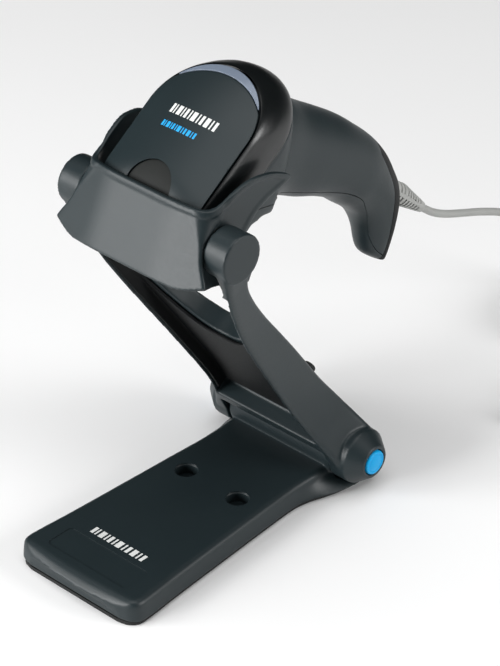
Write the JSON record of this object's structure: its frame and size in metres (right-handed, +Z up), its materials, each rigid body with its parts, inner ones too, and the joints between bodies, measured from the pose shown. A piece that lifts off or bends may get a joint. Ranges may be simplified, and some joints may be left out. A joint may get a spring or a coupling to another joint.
{
  "type": "handheld barcode scanner",
  "caption": "Pistol-shaped handheld barcode scanner held nose down in the tilting cradle of a low hinged desk stand, with its cable and plug.",
  "frame": {"origin": "underside of the base's rubber sole, midway between the two fixing holes", "axes": "+Z up, +X to the object's right seen from behind its front edge, +Y from the front edge of the base to its hinge"},
  "size_m": [0.1181, 0.3383, 0.2078],
  "materials": {
    "dark_plastic": "fine grained slate grey",
    "black_plastic": "matt black",
    "band_plastic": "satin to glossy black",
    "blue_plastic": "satin sky blue",
    "rubber": "matt black",
    "lens": "clear, slightly smoked",
    "steel": "plated",
    "iron": "raw plate",
    "board": "green solder mask",
    "cable_jacket": "light grey jacket"
  },
  "bodies": {
    "stand_base": {"base_cover": "dark_plastic", "base_plate": "black_plastic", "sole_pad": "rubber", "base_weight": "iron", "base_screw_1": "steel", "base_screw_2": "steel", "base_screw_3": "steel", "base_screw_4": "steel", "hinge_pin": "steel", "hinge_nut": "steel", "hinge_washer": "steel", "hinge_disc_spring": "steel"},
    "stand_yoke": {"yoke_shell": "dark_plastic", "yoke_cover": "black_plastic", "hinge_cap_left": "blue_plastic", "hinge_cap_right": "blue_plastic", "pivot_pin_left": "steel", "pivot_pin_right": "steel", "rear_bumper_left": "rubber", "rear_bumper_right": "rubber"},
    "stand_cradle": {"cradle": "dark_plastic", "pivot_washer_left": "steel", "pivot_washer_right": "steel"},
    "scanner": {"top_panel": "dark_plastic", "indicator_lens": "lens", "indicator_board": "board", "bumper_band": "band_plastic", "housing_back": "dark_plastic", "housing_front": "dark_plastic", "butt_cap": "black_plastic", "nose_inset": "black_plastic", "nose_bezel": "black_plastic", "scan_window": "lens", "imager_chassis": "black_plastic", "imager_lens": "lens", "sensor_board": "board", "light_left": "lens", "light_right": "lens", "main_board": "board", "beeper": "black_plastic", "cable_socket": "black_plastic", "housing_screw_1": "steel", "housing_screw_2": "steel", "trigger_pin": "steel", "trigger_spring": "steel", "trigger_switch": "black_plastic", "strain_relief": "cable_jacket", "cable_run": "cable_jacket", "cable_coil": "cable_jacket", "cable_tail": "cable_jacket", "coil_tie": "rubber", "plug_body": "cable_jacket", "plug_shell": "steel"},
    "trigger_lever": {"trigger": "black_plastic"}
  },
  "joints": [
    {"name": "yoke_fold", "type": "hinge", "parent": "stand_base", "child": "stand_yoke", "pos_m": [0, 0.054, 0.0165], "axis": [1, 0, 0], "range_deg": [-30, 25]},
    {"name": "cradle_tilt", "type": "hinge", "parent": "stand_yoke", "child": "stand_cradle", "pos_m": [0, -0.03, 0.159], "axis": [1, 0, 0], "range_deg": [-20, 20]},
    {"name": "scanner_lift", "type": "slide", "parent": "stand_cradle", "child": "scanner", "axis": [0, 0.4462, 0.8949], "range_m": [0, 0.12]},
    {"name": "trigger_pull", "type": "hinge", "parent": "scanner", "child": "trigger_lever", "pos_m": [0, 0.00467, 0.15233], "axis": [1, 0, 0], "range_deg": [0, 5], "stiffness_Nm_per_rad": 0.3, "springref_deg": -5.73}
  ]
}
